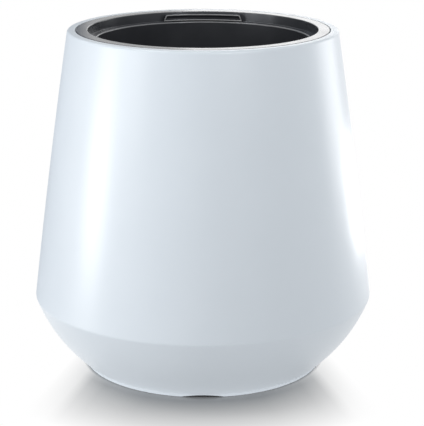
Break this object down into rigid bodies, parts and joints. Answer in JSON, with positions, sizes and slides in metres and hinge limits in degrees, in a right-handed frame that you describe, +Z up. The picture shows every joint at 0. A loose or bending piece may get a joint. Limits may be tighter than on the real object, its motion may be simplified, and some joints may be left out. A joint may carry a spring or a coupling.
{
  "type": "plant pot",
  "caption": "Round planter: white tapered body with a belly crease over a narrow foot, holding a dark lift-out planting insert with pull-up handles above a plugged water space.",
  "frame": {"origin": "on the ground at the middle of the foot ring", "axes": "+Z up along the pot's axis, -Y towards the front of the picture, +X to its right"},
  "size_m": [0.3898, 0.3898, 0.389],
  "materials": {
    "white_body": "satin moulded",
    "dark_insert": "fine moulded grain",
    "plug_grey": "smooth moulded",
    "black_rubber": "smooth"
  },
  "bodies": {
    "outer_body": {"outer_shell": "white_body", "base_bowl": "white_body"},
    "insert": {"planting_insert": "dark_insert"},
    "back_handle": {"back_handle": "dark_insert"},
    "front_handle": {"front_handle": "dark_insert"},
    "drain_plug": {"drain_plug": "plug_grey", "plug_gasket": "black_rubber"}
  },
  "joints": [
    {"name": "insert_lift", "type": "slide", "parent": "outer_body", "child": "insert", "axis": [0, 0, 1], "range_m": [0, 0.345]},
    {"name": "back_handle_pull", "type": "slide", "parent": "insert", "child": "back_handle", "axis": [0, 0, 1], "range_m": [0, 0.045]},
    {"name": "front_handle_pull", "type": "slide", "parent": "insert", "child": "front_handle", "axis": [0, 0, 1], "range_m": [0, 0.045]},
    {"name": "drain_plug_pull", "type": "slide", "parent": "outer_body", "child": "drain_plug", "axis": [0, 0, 1], "range_m": [0, 0.03]}
  ]
}
